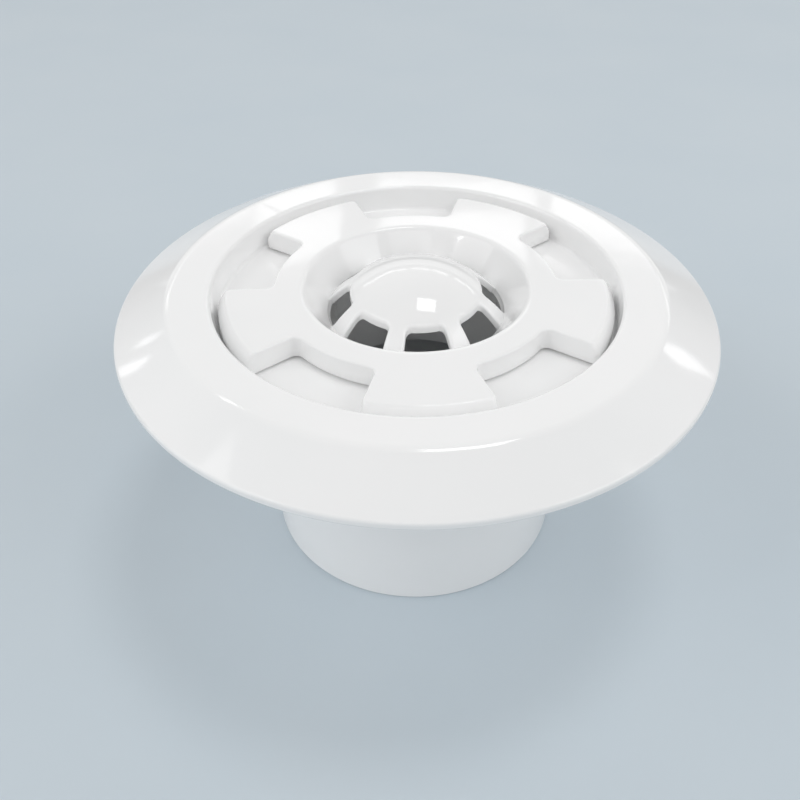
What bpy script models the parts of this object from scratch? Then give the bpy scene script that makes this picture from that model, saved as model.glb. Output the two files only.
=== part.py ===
"""Adjustable return inlet for a swimming pool, modelled as the pieces it comes apart into.

A pipe socket is glued over the pool's return pipe. A threaded bush stands in its throat, and a
bevelled face flange is screwed down over both. A lobed wheel with a slotted dome screws into the
bush: turning it lifts it off the flange's recess and lets a ring of water out from under it.

Lengths are in millimetres until they become mesh coordinates. +Z runs up the axis, towards the
water of the pool, and the origin is the centre of the socket's lower rim.
"""

import math

import bmesh
import bpy
from mathutils import Matrix, Vector

MM = 0.001
GAP = 0.3                       # between pieces that touch on the real fitting
OVERSHOOT = 1.0                 # how far a cutting shape runs past what it cuts
OVERLAP = 0.5                   # how far a joined shape reaches into its neighbour
FULL_TURN = 2.0 * math.pi

# Pipe socket
PIPE_RADIUS = 31.5              # 63 mm pressure pipe
PIPE_PLAY = 0.15
SOCKET_WALL = 5.0
SOCKET_DEPTH = 38.0             # height of the shoulder that the pipe's end meets
SOCKET_BORE = PIPE_RADIUS + PIPE_PLAY
SOCKET_OUTER = SOCKET_BORE + SOCKET_WALL
THROAT_RADIUS = 25.3
COLLAR_RADIUS = 46.0
COLLAR_THICKNESS = 5.2
COLLAR_GUSSET = 3.5             # leg of the cone between socket and collar
BODY_TOP = 59.3

# Face flange
FLANGE_RADIUS = 68.0
FLANGE_BASE = 60.9              # plane of the land that bears on the pool wall
LAND_WIDTH = 4.0
LIP_HEIGHT = 1.7
LIP_ROUND = 0.6
RIDGE_RADIUS = 55.6
RIDGE_TOP = 68.8
RIDGE_FALL = 0.2                # from the ridge in to the edge of the recess
RECESS_RADIUS = 46.4
RECESS_DRAFT = 0.9
RECESS_FLOOR = 62.6
FLOOR_THICKNESS = 3.0
FLANGE_WALL = 2.6
RIB_COUNT = 10
RIB_THICKNESS = 1.8

# Regulating wheel
WHEEL_TOP = 67.9
WHEEL_UNDERSIDE = 63.0
LOBE_COUNT = 5
LOBE_HALF_ANGLE = math.radians(18.0)
LOBE_AZIMUTH = math.radians(4.0)        # of the front lobe's middle, from -Y towards +X
LOBE_RADIUS = 45.0
LOBE_TOP_RADIUS = 43.4
LOBE_CHAMFER_FOOT = 65.4                # the lobes' ends slope inwards above this height
NOTCH_RADIUS = 32.6
LOBE_CORNER = 1.4
NOTCH_FILLET = 1.8
WHEEL_EDGE = 0.5
WALL_DRAFT = 0.25
POCKET_WALL = 2.4
POCKET_ROOF = 65.4
BOWL_RADIUS = 25.8
BOWL_FOOT_RADIUS = 20.6
BOWL_EDGE = 0.3
HUB_RADIUS = 21.9
HUB_FOOT = 60.4

# Slotted dome in the middle of the wheel
DOME_RADIUS = 26.5
DOME_TOP = 71.3
DOME_WALL = 1.5
SLOT_COUNT = 8
SLOT_AZIMUTH = math.radians(8.3)
SLOT_HALF_ANGLE = math.radians(15.5)
SLOT_INNER = 15.15
SLOT_OUTER = 20.5

# Thread between sleeve and bush
THREAD_PITCH = 4.0
THREAD_DEPTH = 1.0
THREAD_ROOT_WIDTH = 2.3
THREAD_CREST_WIDTH = 1.3

# Threaded sleeve under the wheel
SLEEVE_BORE = 20.2
SLEEVE_FOOT = 37.0
SLEEVE_LEDGE_RADIUS = 23.6
SLEEVE_LEDGE = 0.8
SLEEVE_CHAMFER = 0.4
SLEEVE_THREAD = (43.6, 51.4)
PORT_COUNT = 6
PORT_HEIGHTS = (52.6, 58.9)
PORT_HALF_ANGLE = math.radians(17.0)

# Thread bush in the throat
BUSH_FOOT = 46.0
BUSH_TOP = 58.9
BUSH_COLLAR_RADIUS = 26.8
BUSH_COLLAR_HEIGHT = 1.3
BUSH_THREAD = (46.6, 55.4)

# Seals, stop ring and screws
ORING_SECTION = 1.1             # radius of its round section
GASKET_RADII = (33.2, 44.6)
GASKET_THICKNESS = 1.2
STOP_RING_THICKNESS = 1.6
STOP_RING_OUTER = 24.3
STOP_RING_TOP = 39.7
STOP_RING_OPENING = math.radians(20.0)
STOP_GROOVE_DEPTH = 1.0
SCREW_COUNT = 6
SCREW_CIRCLE = 29.3
SCREW_LENGTH = 14.0
SCREW_RADIUS = 1.35
SCREW_HEAD_RADIUS = 2.6
SCREW_HEAD_HEIGHT = 1.6
SCREW_HEAD_SINK = 0.1           # of the head below the recess floor
SCREW_POINT = 1.6
SCREW_TIP_RADIUS = 0.6
SCREW_CROSS = (3.0, 0.8, 1.1)   # length, width and depth of the driver cross

# Facets
ROUND_STEPS = 48
FLANGE_STEPS = 60
INNER_STEPS = 36               # pieces hidden inside
SMALL_STEPS = 10


def clear_scene():
    for obj in list(bpy.context.scene.objects):
        bpy.data.objects.remove(obj, do_unlink=True)


# ---------------------------------------------------------------- materials

def material(name, colour, roughness, metallic=0.0):
    mat = bpy.data.materials.new(name)
    mat.use_nodes = True
    shader = mat.node_tree.nodes["Principled BSDF"]
    shader.inputs["Base Color"].default_value = (*colour, 1.0)
    shader.inputs["Roughness"].default_value = roughness
    shader.inputs["Metallic"].default_value = metallic
    mat.diffuse_color = (*colour, 1.0)
    return mat


def white_abs(name):
    return material(name, (0.87, 0.88, 0.88), 0.18)


def natural_acetal(name):
    return material(name, (0.80, 0.80, 0.77), 0.32)


def black_rubber(name):
    return material(name, (0.02, 0.02, 0.022), 0.55)


def stainless_steel(name):
    return material(name, (0.62, 0.62, 0.60), 0.28, metallic=1.0)


# ---------------------------------------------------------------- mesh helpers

def polar(radius, angle, z):
    """A point in metres at a millimetre radius and height, angle counted from +X."""
    return Vector((radius * math.cos(angle), radius * math.sin(angle), z)) * MM


def front_angle(azimuth):
    """Angle from +X of an azimuth counted from -Y, the front, towards +X."""
    return azimuth - math.pi / 2.0


def arc(centre, radius, start, stop, steps):
    """Points of an arc in a plane, both ends included."""
    angles = [start + (stop - start) * i / steps for i in range(steps + 1)]
    return [(centre[0] + radius * math.cos(a), centre[1] + radius * math.sin(a)) for a in angles]


def rounded(corners, steps=2):
    """A closed outline in which each corner (x, y, radius) is rounded by its radius."""
    points = []
    for i, (x, y, radius) in enumerate(corners):
        here = Vector((x, y))
        before = (Vector(corners[i - 1][:2]) - here).normalized()
        after = (Vector(corners[(i + 1) % len(corners)][:2]) - here).normalized()
        if radius == 0.0:
            points.append((x, y))
            continue
        half = before.angle(after) / 2.0
        centre = here + (before + after).normalized() * (radius / math.sin(half))
        first = here + before * (radius / math.tan(half)) - centre
        last = here + after * (radius / math.tan(half)) - centre
        for step in range(steps + 1):
            spoke = first.lerp(last, step / steps).normalized() * radius
            points.append(tuple(centre + spoke))
    return points


def make_object(name, bm, mat=None):
    """Turn a bmesh into an object whose faces point outwards and whose round faces are smooth."""
    bmesh.ops.recalc_face_normals(bm, faces=bm.faces)
    mesh = bpy.data.meshes.new(name)
    bm.to_mesh(mesh)
    bm.free()
    mesh.shade_smooth()
    mesh.set_sharp_from_angle(angle=math.radians(32.0))
    if mat is not None:
        mesh.materials.append(mat)
    obj = bpy.data.objects.new(name, mesh)
    bpy.context.scene.collection.objects.link(obj)
    return obj


def make_tool(name, bm):
    """A shape that only cuts or adds to another one."""
    tool = make_object(name, bm)
    tool.hide_render = True
    tool.display_type = 'WIRE'
    return tool


def turn_profile(bm, profile, steps=ROUND_STEPS, closed=True, angle=FULL_TURN):
    """Spin an outline of (radius, height) points about the axis."""
    verts = [bm.verts.new(Vector((r, 0.0, z)) * MM) for r, z in profile]
    edges = [bm.edges.new(pair) for pair in zip(verts, verts[1:])]
    if closed:
        edges.append(bm.edges.new((verts[-1], verts[0])))
    bmesh.ops.spin(bm, geom=verts + edges, cent=(0, 0, 0), axis=(0, 0, 1),
                   angle=angle, steps=steps, use_merge=False)
    bmesh.ops.remove_doubles(bm, verts=bm.verts, dist=1e-6)


def turned(name, profile, mat, steps=ROUND_STEPS, closed=True):
    bm = bmesh.new()
    turn_profile(bm, profile, steps, closed)
    return make_object(name, bm, mat)


def add_prism(bm, outline, low, high, placement=None):
    """A straight-sided solid over a closed outline of (x, y) points."""
    lower = [bm.verts.new(Vector((x, y, low)) * MM) for x, y in outline]
    face = bm.faces.new(lower)
    raised = bmesh.ops.extrude_face_region(bm, geom=[face])["geom"]
    upper = [item for item in raised if isinstance(item, bmesh.types.BMVert)]
    bmesh.ops.translate(bm, verts=upper, vec=(0.0, 0.0, (high - low) * MM))
    if placement is not None:
        bmesh.ops.transform(bm, matrix=placement, verts=lower + upper)


def sector(inner, outer, half_angle, middle, steps=4):
    """Outline of a piece of a ring."""
    return (arc((0, 0), outer, middle - half_angle, middle + half_angle, steps)
            + arc((0, 0), inner, middle + half_angle, middle - half_angle, steps))


def combine(target, tool, operation):
    modifier = target.modifiers.new(tool.name, 'BOOLEAN')
    modifier.object = tool
    modifier.operation = operation
    modifier.solver = 'EXACT'


def thread_tool(name, root_radius, direction, span, pitch_offset):
    """A helical ridge. direction is +1 for a male ridge and -1 for a female one."""
    low, high = span
    foot = root_radius - direction * OVERLAP
    crest = root_radius + direction * THREAD_DEPTH
    half_root = THREAD_ROOT_WIDTH / 2.0
    half_crest = THREAD_CREST_WIDTH / 2.0
    turns = (high - low - THREAD_ROOT_WIDTH) / THREAD_PITCH
    start = front_angle(0.0) + FULL_TURN * (low + half_root - pitch_offset) / THREAD_PITCH
    steps = math.ceil(turns * INNER_STEPS)
    section = [(foot, -half_root), (root_radius, -half_root), (crest, -half_crest),
               (crest, half_crest), (root_radius, half_root), (foot, half_root)]
    bm = bmesh.new()
    verts = [bm.verts.new(polar(r, start, low + half_root + z)) for r, z in section]
    face = bm.faces.new(verts)
    rise = turns * THREAD_PITCH / steps
    bmesh.ops.spin(bm, geom=[face], cent=(0, 0, 0), axis=(0, 0, 1), dvec=(0, 0, rise * MM),
                   angle=turns * FULL_TURN, steps=steps, use_merge=False)
    return make_tool(name, bm)


# ---------------------------------------------------------------- fixed pieces

def pipe_socket():
    """Socket, throat and collar in one moulding, with pilot holes for the flange's screws."""
    collar_top = BODY_TOP - GASKET_THICKNESS - GAP
    collar_foot = collar_top - COLLAR_THICKNESS
    neck = GASKET_RADII[0] - 2.0 * GAP
    bush_seat = BUSH_TOP - BUSH_COLLAR_HEIGHT - GAP
    outline = rounded([
        (BUSH_COLLAR_RADIUS + GAP, BODY_TOP, 0.0),
        (neck, BODY_TOP, 0.0),
        (neck, collar_top, 0.0),
        (COLLAR_RADIUS, collar_top, 0.0),
        (COLLAR_RADIUS, collar_foot, 0.8),
        (SOCKET_OUTER + COLLAR_GUSSET, collar_foot, 0.0),
        (SOCKET_OUTER, collar_foot - COLLAR_GUSSET, 0.0),
        (SOCKET_OUTER, 0.0, 0.7),
        (SOCKET_BORE, 0.0, 1.2),
        (SOCKET_BORE, SOCKET_DEPTH, 0.0),
        (THROAT_RADIUS, SOCKET_DEPTH, 0.0),
        (THROAT_RADIUS, bush_seat, 0.0),
        (BUSH_COLLAR_RADIUS + GAP, bush_seat, 0.0),
    ], steps=1)
    body = turned("pipe_socket", outline, white_abs("socket_white"))
    combine(body, pilot_holes(), 'DIFFERENCE')
    return body


def screw_angles():
    return [front_angle(FULL_TURN * i / SCREW_COUNT) for i in range(SCREW_COUNT)]


def screw_tool(name, profile):
    """A turned cutter repeated at each screw."""
    bm = bmesh.new()
    for angle in screw_angles():
        known = set(bm.verts)
        turn_profile(bm, profile, SMALL_STEPS, closed=False)
        fresh = [vert for vert in bm.verts if vert not in known]
        bmesh.ops.translate(bm, verts=fresh, vec=polar(SCREW_CIRCLE, angle, 0.0))
    return make_tool(name, bm)


def pilot_holes():
    radius = SCREW_RADIUS + GAP
    foot = RECESS_FLOOR - SCREW_LENGTH - OVERSHOOT
    top = BODY_TOP + OVERSHOOT
    return screw_tool("pilot_holes", [(0.0, top), (radius, top), (radius, foot), (0.0, foot)])


def screw_seats():
    """Clearance holes with countersinks for the screw heads."""
    narrow = SCREW_RADIUS + GAP
    wide = SCREW_HEAD_RADIUS + GAP
    depth = SCREW_HEAD_HEIGHT + SCREW_HEAD_SINK
    flare = wide + (wide - narrow) * OVERSHOOT / depth
    top = RECESS_FLOOR + OVERSHOOT
    foot = RECESS_FLOOR - FLOOR_THICKNESS - OVERSHOOT
    return screw_tool("screw_seats", [(0.0, top), (flare, top), (narrow, RECESS_FLOOR - depth),
                                      (narrow, foot), (0.0, foot)])


def skirt_slope():
    return (RIDGE_TOP - FLANGE_BASE - LIP_HEIGHT) / (FLANGE_RADIUS - RIDGE_RADIUS)


def skirt_underside(radius, wall):
    """Height inside the flange's sloping skirt at a radius, under a wall of this thickness."""
    outer_face = RIDGE_TOP - skirt_slope() * (radius - RIDGE_RADIUS)
    return outer_face - wall * math.hypot(1.0, skirt_slope())


def flange_outline():
    floor_foot = RECESS_FLOOR - FLOOR_THICKNESS
    hollow = RECESS_RADIUS + FLANGE_WALL
    land = FLANGE_RADIUS - LAND_WIDTH
    ceiling = RIDGE_TOP - RIDGE_FALL - FLANGE_WALL
    return rounded([
        (THROAT_RADIUS, RECESS_FLOOR, 0.0),
        (THROAT_RADIUS, floor_foot, 0.0),
        (hollow, floor_foot, 0.0),
        (hollow, ceiling, 0.0),
        (RIDGE_RADIUS - LIP_ROUND, ceiling, 0.0),
        (land, skirt_underside(land, FLANGE_WALL), 0.0),
        (land, FLANGE_BASE, 0.0),
        (FLANGE_RADIUS, FLANGE_BASE, LIP_ROUND),
        (FLANGE_RADIUS, FLANGE_BASE + LIP_HEIGHT, LIP_ROUND),
        (RIDGE_RADIUS, RIDGE_TOP, 3.0),
        (RECESS_RADIUS, RIDGE_TOP - RIDGE_FALL, 0.9),
        (RECESS_RADIUS - RECESS_DRAFT, RECESS_FLOOR, 0.8),
    ])


def flange_ribs():
    """Radial stiffening ribs in the hollow under the flange's skirt."""
    inner = RECESS_RADIUS + FLANGE_WALL - OVERLAP
    outer = FLANGE_RADIUS - LAND_WIDTH + OVERLAP
    foot = FLANGE_BASE + GAP
    cover = FLANGE_WALL - OVERLAP
    ceiling = RIDGE_TOP - RIDGE_FALL - cover
    outline = [(inner, foot), (outer, foot), (outer, skirt_underside(outer, cover)),
               (RIDGE_RADIUS - LIP_ROUND, ceiling), (inner, ceiling)]
    upright = Matrix.Rotation(math.pi / 2.0, 4, 'X')
    bm = bmesh.new()
    for i in range(RIB_COUNT):
        around = Matrix.Rotation(FULL_TURN * (i + 0.5) / RIB_COUNT, 4, 'Z')
        add_prism(bm, outline, -RIB_THICKNESS / 2.0, RIB_THICKNESS / 2.0, around @ upright)
    return make_tool("flange_ribs", bm)


def face_flange():
    """Bevelled cover flange with the recess for the wheel."""
    flange = turned("face_flange", flange_outline(), white_abs("flange_white"), FLANGE_STEPS)
    combine(flange, flange_ribs(), 'UNION')
    combine(flange, screw_seats(), 'DIFFERENCE')
    return flange


def flange_gasket():
    inner, outer = GASKET_RADII
    top = BODY_TOP
    foot = top - GASKET_THICKNESS
    outline = [(outer, top), (outer, foot), (inner, foot), (inner, top)]
    return turned("flange_gasket", outline, black_rubber("gasket_rubber"))


def thread_bush():
    """Bush with the female thread, held down by its collar under the flange."""
    outer = THROAT_RADIUS - GAP
    bore = HUB_RADIUS + GAP + THREAD_DEPTH
    collar_foot = BUSH_TOP - BUSH_COLLAR_HEIGHT
    outline = [(bore, BUSH_TOP), (BUSH_COLLAR_RADIUS, BUSH_TOP), (BUSH_COLLAR_RADIUS, collar_foot),
               (outer, collar_foot), (outer, BUSH_FOOT), (bore, BUSH_FOOT)]
    bush = turned("thread_bush", outline, natural_acetal("bush_acetal"), INNER_STEPS)
    ridge = thread_tool("female_thread", bore, -1, BUSH_THREAD, BUSH_FOOT)
    combine(bush, ridge, 'UNION')
    return bush


def screw_blank():
    """One countersunk screw standing on the axis, its head's top at height 0."""
    outline = [(0.0, 0.0), (SCREW_HEAD_RADIUS, 0.0),
               (SCREW_RADIUS, -SCREW_HEAD_HEIGHT), (SCREW_RADIUS, SCREW_POINT - SCREW_LENGTH),
               (SCREW_TIP_RADIUS, -SCREW_LENGTH), (0.0, -SCREW_LENGTH)]
    blank = turned("screw_blank", outline, stainless_steel("screw_steel"), SMALL_STEPS, closed=False)
    length, width, depth = SCREW_CROSS
    half_l, half_w = length / 2.0, width / 2.0
    cross = [(half_l, -half_w), (half_l, half_w), (half_w, half_w), (half_w, half_l),
             (-half_w, half_l), (-half_w, half_w), (-half_l, half_w), (-half_l, -half_w),
             (-half_w, -half_w), (-half_w, -half_l), (half_w, -half_l), (half_w, -half_w)]
    bm = bmesh.new()
    add_prism(bm, cross, -depth, OVERSHOOT)
    driver = make_tool("driver_cross", bm)
    combine(blank, driver, 'DIFFERENCE')
    bpy.context.view_layer.update()
    evaluated = blank.evaluated_get(bpy.context.evaluated_depsgraph_get())
    mesh = bpy.data.meshes.new_from_object(evaluated)
    bpy.data.objects.remove(blank)
    bpy.data.objects.remove(driver)
    return mesh


def flange_screws():
    mesh = screw_blank()
    for number, angle in enumerate(screw_angles(), start=1):
        screw = bpy.data.objects.new("flange_screw_%d" % number, mesh)
        screw.location = polar(SCREW_CIRCLE, angle, RECESS_FLOOR - SCREW_HEAD_SINK)
        bpy.context.scene.collection.objects.link(screw)


# ---------------------------------------------------------------- moving pieces

def lobe_outline(lobe_radius, inset, middle):
    """A lobe and the notch after it: one fifth of the wheel's outline, moved inwards by inset.

    The corner arcs keep their centres, so that insets of the same outline stay parallel.
    """
    points = []
    outside = lobe_radius - LOBE_CORNER
    inside = NOTCH_RADIUS + NOTCH_FILLET
    for side in (-1, 1):
        along = Vector((math.cos(LOBE_HALF_ANGLE), side * math.sin(LOBE_HALF_ANGLE)))
        across = Vector((-along.y, along.x)) * side
        corner = along * math.sqrt(outside ** 2 - LOBE_CORNER ** 2) - across * LOBE_CORNER
        fillet = along * math.sqrt(inside ** 2 - NOTCH_FILLET ** 2) + across * NOTCH_FILLET
        half = [corner + corner.normalized().slerp(across, step / 2) * (LOBE_CORNER - inset)
                for step in range(3)]
        half += [fillet + (-across).slerp(-fillet.normalized(), step / 3) * (NOTCH_FILLET + inset)
                 for step in range(4)]
        points += half if side == 1 else half[::-1]
        if side == -1:
            edge = math.atan2(corner.y, corner.x)
            points += [Vector(p) for p in arc((0, 0), lobe_radius - inset, edge, -edge, 5)[1:-1]]
    edge = math.atan2(fillet.y, fillet.x)
    next_edge = FULL_TURN / LOBE_COUNT - edge
    points += [Vector(p) for p in arc((0, 0), NOTCH_RADIUS - inset, edge, next_edge, 4)[1:-1]]
    turn = Matrix.Rotation(middle, 2)
    return [turn @ point for point in points]


def lobe_angles():
    return [front_angle(LOBE_AZIMUTH) + FULL_TURN * i / LOBE_COUNT for i in range(LOBE_COUNT)]


def wheel_loop(bm, lobe_radius, inset, z):
    """One level of the wheel's outer wall, as a closed loop of vertices."""
    points = [point for middle in lobe_angles() for point in lobe_outline(lobe_radius, inset, middle)]
    return [bm.verts.new(Vector((point.x, point.y, z)) * MM) for point in points]


def ring_loop(bm, radius, z):
    return [bm.verts.new(polar(radius, FULL_TURN * i / ROUND_STEPS, z)) for i in range(ROUND_STEPS)]


def dome_arc(radius, outer, steps):
    """Points of the dome's outer or inner face, from the rim in to the top."""
    centre = DOME_TOP - DOME_RADIUS
    start = math.acos(outer / radius)
    return arc((0.0, centre), radius, start, math.pi / 2.0, steps)


def bridge(bm, loops):
    """Walls between neighbouring loops, which have the same number of vertices."""
    for upper, lower in zip(loops, loops[1:]):
        for i in range(len(upper)):
            bm.faces.new((upper[i - 1], upper[i], lower[i], lower[i - 1]))


def fill_between(bm, outer, inner):
    """A flat face with a round hole, between two loops that already have walls."""
    edges = [bm.edges.get((loop[i - 1], loop[i])) for loop in (outer, inner) for i in range(len(loop))]
    bmesh.ops.triangle_fill(bm, edges=edges, use_beauty=True)


def close_at_axis(bm, loop, z):
    """Close a ring with a fan that meets on the axis."""
    tip = bm.verts.new((0.0, 0.0, z * MM))
    for i in range(len(loop)):
        bm.faces.new((loop[i - 1], loop[i], tip))


def wheel_blank():
    """The wheel without its slots: lobed wall, bowl, dome and the hub under them."""
    bm = bmesh.new()
    wall = wheel_levels(bm)
    bowl = [(BOWL_RADIUS + BOWL_EDGE, WHEEL_TOP), (BOWL_RADIUS, WHEEL_TOP - BOWL_EDGE)]
    dome = dome_arc(DOME_RADIUS, BOWL_FOOT_RADIUS, 6)
    hub = [(HUB_RADIUS, WHEEL_UNDERSIDE), (HUB_RADIUS, HUB_FOOT)]
    hollow_radius = DOME_RADIUS - DOME_WALL
    hollow_rim = math.sqrt(hollow_radius ** 2 - (HUB_FOOT - DOME_TOP + DOME_RADIUS) ** 2)
    hollow = dome_arc(hollow_radius, hollow_rim, 4)
    above = [ring_loop(bm, r, z) for r, z in bowl + dome[:-1]]
    below = [ring_loop(bm, r, z) for r, z in hub + hollow[:-1]]
    for loops in (wall, above, below):
        bridge(bm, loops)
    fill_between(bm, wall[-1], above[0])
    fill_between(bm, wall[0], below[0])
    close_at_axis(bm, above[-1], DOME_TOP)
    close_at_axis(bm, below[-1], hollow[-1][1])
    return bm


def wheel_levels(bm):
    """Levels of the outer wall from the underside up, with the top edge rounded over."""
    levels = [(LOBE_RADIUS, 0.0, WHEEL_UNDERSIDE), (LOBE_RADIUS, 0.0, LOBE_CHAMFER_FOOT)]
    for quarter in (0.0, 0.5, 1.0):
        angle = quarter * math.pi / 2.0
        inset = WALL_DRAFT + WHEEL_EDGE * (1.0 - math.cos(angle))
        z = WHEEL_TOP - WHEEL_EDGE * (1.0 - math.sin(angle))
        levels.append((LOBE_TOP_RADIUS, inset, z))
    return [wheel_loop(bm, radius, inset, z) for radius, inset, z in levels]


def dome_slots():
    bm = bmesh.new()
    for i in range(SLOT_COUNT):
        middle = front_angle(SLOT_AZIMUTH) + FULL_TURN * i / SLOT_COUNT
        add_prism(bm, sector(SLOT_INNER, SLOT_OUTER, SLOT_HALF_ANGLE, middle),
                  HUB_FOOT - OVERSHOOT, DOME_TOP)
    return make_tool("dome_slots", bm)


def lobe_pockets():
    """Hollows under the lobes that keep the moulding's walls even."""
    outer = LOBE_TOP_RADIUS - POCKET_WALL
    half_angle = LOBE_HALF_ANGLE - POCKET_WALL / NOTCH_RADIUS
    bm = bmesh.new()
    for middle in lobe_angles():
        add_prism(bm, sector(NOTCH_RADIUS, outer, half_angle, middle),
                  WHEEL_UNDERSIDE - OVERSHOOT, POCKET_ROOF)
    return make_tool("lobe_pockets", bm)


def regulating_wheel():
    wheel = make_object("regulating_wheel", wheel_blank(), white_abs("wheel_white"))
    combine(wheel, dome_slots(), 'DIFFERENCE')
    combine(wheel, lobe_pockets(), 'DIFFERENCE')
    return wheel


def threaded_sleeve():
    """Neck welded under the wheel's hub: ledge for the O-ring, ports, thread and ring groove."""
    top = HUB_FOOT - GAP
    groove_top = STOP_RING_TOP + GAP
    groove_foot = STOP_RING_TOP - STOP_RING_THICKNESS - GAP
    groove_radius = HUB_RADIUS - STOP_GROOVE_DEPTH
    outline = [
        (SLEEVE_BORE, top),
        (SLEEVE_LEDGE_RADIUS, top),
        (SLEEVE_LEDGE_RADIUS, top - SLEEVE_LEDGE),
        (HUB_RADIUS, top - SLEEVE_LEDGE - SLEEVE_CHAMFER),
        (HUB_RADIUS, groove_top),
        (groove_radius, groove_top),
        (groove_radius, groove_foot),
        (HUB_RADIUS, groove_foot),
        (HUB_RADIUS - SLEEVE_CHAMFER, SLEEVE_FOOT),
        (SLEEVE_BORE, SLEEVE_FOOT),
    ]
    sleeve = turned("threaded_sleeve", outline, white_abs("sleeve_white"), INNER_STEPS)
    bm = bmesh.new()
    low, high = PORT_HEIGHTS
    for i in range(PORT_COUNT):
        middle = FULL_TURN * i / PORT_COUNT
        port = sector(SLEEVE_BORE - OVERSHOOT, HUB_RADIUS + OVERSHOOT, PORT_HALF_ANGLE, middle)
        add_prism(bm, port, low, high)
    combine(sleeve, make_tool("sleeve_ports", bm), 'DIFFERENCE')
    ridge = thread_tool("male_thread", HUB_RADIUS, 1, SLEEVE_THREAD, BUSH_FOOT + THREAD_PITCH / 2.0)
    combine(sleeve, ridge, 'UNION')
    return sleeve


def plug_oring():
    centre = (HUB_RADIUS + GAP + ORING_SECTION, HUB_FOOT + ORING_SECTION)
    section = arc(centre, ORING_SECTION, 0.0, FULL_TURN, 6)[:-1]
    return turned("plug_oring", section, black_rubber("oring_rubber"), INNER_STEPS)


def stop_ring():
    """Split ring that snaps into the groove at the sleeve's lower end."""
    inner = HUB_RADIUS - STOP_GROOVE_DEPTH + GAP
    middle = front_angle(math.pi)
    bm = bmesh.new()
    add_prism(bm, sector(inner, STOP_RING_OUTER, math.pi - STOP_RING_OPENING / 2.0, middle, steps=24),
              STOP_RING_TOP - STOP_RING_THICKNESS, STOP_RING_TOP)
    return make_object("stop_ring", bm, natural_acetal("ring_acetal"))


def main():
    clear_scene()
    pipe_socket()
    thread_bush()
    flange_gasket()
    face_flange()
    flange_screws()
    regulating_wheel()
    threaded_sleeve()
    plug_oring()
    stop_ring()


main()
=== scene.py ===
"""Looks of the adjustable pool return inlet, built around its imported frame.

Every CAD node is replaced by a fine mesh of the same piece in the same place: turned shapes with
their moulded radii, real helical threads, and a wheel whose slots and lobes have rounded edges.
Lengths are in millimetres until they become mesh coordinates. +Z runs up the fitting's axis.
"""

import math

import bmesh
import bpy
import numpy as np
from mathutils import Matrix, Vector
from mathutils.geometry import delaunay_2d_cdt


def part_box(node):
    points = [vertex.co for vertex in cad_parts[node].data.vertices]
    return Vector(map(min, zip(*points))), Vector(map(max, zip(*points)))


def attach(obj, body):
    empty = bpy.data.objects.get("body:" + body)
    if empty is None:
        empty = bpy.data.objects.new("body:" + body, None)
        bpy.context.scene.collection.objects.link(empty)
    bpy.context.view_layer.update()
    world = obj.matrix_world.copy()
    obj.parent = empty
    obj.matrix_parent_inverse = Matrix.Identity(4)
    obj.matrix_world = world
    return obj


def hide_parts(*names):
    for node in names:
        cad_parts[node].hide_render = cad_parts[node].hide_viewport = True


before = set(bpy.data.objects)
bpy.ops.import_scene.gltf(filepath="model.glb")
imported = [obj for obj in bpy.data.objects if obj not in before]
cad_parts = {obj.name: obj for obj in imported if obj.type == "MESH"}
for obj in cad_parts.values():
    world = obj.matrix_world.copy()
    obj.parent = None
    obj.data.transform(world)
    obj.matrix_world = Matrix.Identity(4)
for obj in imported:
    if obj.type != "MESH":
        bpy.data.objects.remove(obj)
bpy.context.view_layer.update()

MM = 0.001
TURN = 2.0 * math.pi
GAP = 0.3                        # between pieces that touch on the real fitting
OVERSHOOT = 1.0                  # how far a cutting shape runs past what it cuts
OVERLAP = 0.5                    # how far a joined shape reaches into its neighbour
MERGE_DISTANCE = 2e-7            # in metres, for points that are the same
SHARP_ANGLE = math.radians(35.0)


def frame_box(node):
    """Lowest and highest corner of a CAD node, in millimetres."""
    low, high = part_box(node)
    return low / MM, high / MM


# Places read from the frame
SOCKET_HIGH = frame_box("pipe_socket")[1]
FLANGE_LOW, FLANGE_HIGH = frame_box("face_flange")
GASKET_LOW, GASKET_HIGH = frame_box("flange_gasket")
BUSH_LOW, BUSH_HIGH = frame_box("thread_bush")
WHEEL_LOW, WHEEL_HIGH = frame_box("regulating_wheel")
SLEEVE_LOW, SLEEVE_HIGH = frame_box("threaded_sleeve")
ORING_LOW, ORING_HIGH = frame_box("plug_oring")
STOP_LOW, STOP_HIGH = frame_box("stop_ring")

# Pipe socket
COLLAR_RADIUS = SOCKET_HIGH.x
BODY_TOP = SOCKET_HIGH.z
SOCKET_BORE = 31.65
SOCKET_OUTER = 36.65
SOCKET_DEPTH = 38.0
THROAT_RADIUS = 25.3
COLLAR_THICKNESS = 5.2
COLLAR_GUSSET = 3.5
NECK_RADIUS = 32.6               # of the spigot inside the gasket

# Flange gasket
GASKET_RADIUS = 33.2             # of its hole
GASKET_ROUND = 0.35

# Face flange
FLANGE_RADIUS = FLANGE_HIGH.x
RIDGE_TOP = FLANGE_HIGH.z
FLOOR_FOOT = FLANGE_LOW.z
FLANGE_BASE = 60.9
LAND_WIDTH = 4.0
LIP_HEIGHT = 1.7
RIDGE_RADIUS = 55.6
RIDGE_FALL = 0.2                 # from the ridge in to the edge of the recess
RECESS_RADIUS = 46.4
RECESS_DRAFT = 0.9
RECESS_FLOOR = 62.6
FLANGE_WALL = 2.6
CEILING_INSET = 0.6              # of the hollow's corner behind the ridge
RIB_COUNT = 10
RIB_THICKNESS = 1.8

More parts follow.
